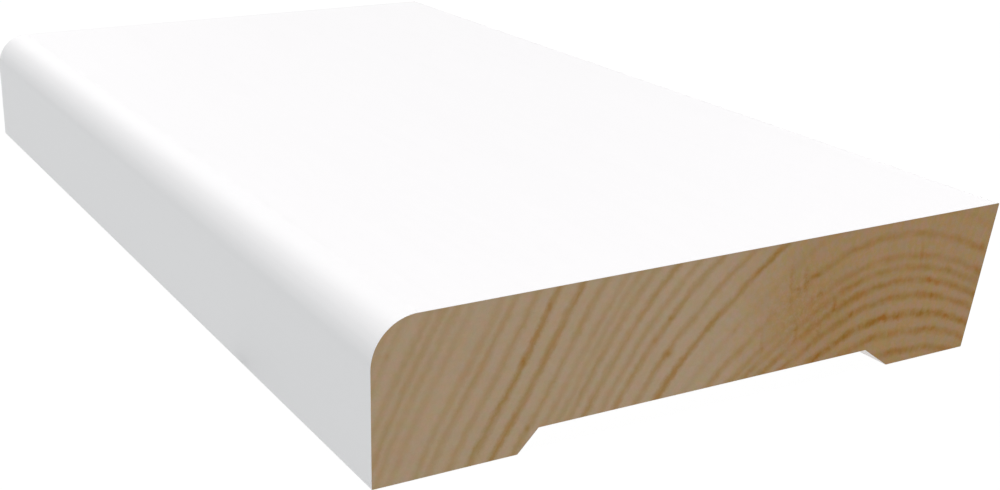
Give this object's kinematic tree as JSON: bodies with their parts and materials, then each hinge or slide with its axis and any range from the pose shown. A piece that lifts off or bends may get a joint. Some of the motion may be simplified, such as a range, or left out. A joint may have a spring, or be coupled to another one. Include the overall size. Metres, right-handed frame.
{
  "type": "skirting board",
  "caption": "Flat painted pine skirting board with a rounded face edge, a sloped edge and a shallow relief groove along its back, cut square at both ends.",
  "frame": {"origin": "middle of the underside: the plane of the two back pads, halfway along the length and halfway across the width", "axes": "+X across the board from the rounded edge to the sloped edge, +Y along the length, +Z from the back to the painted face; the board lies on its back"},
  "size_m": [0.056, 0.104, 0.012],
  "materials": {
    "white_paint": "satin",
    "bare_pine": "matte"
  },
  "bodies": {
    "root": {"skirting_board": "white_paint"}
  },
  "joints": []
}
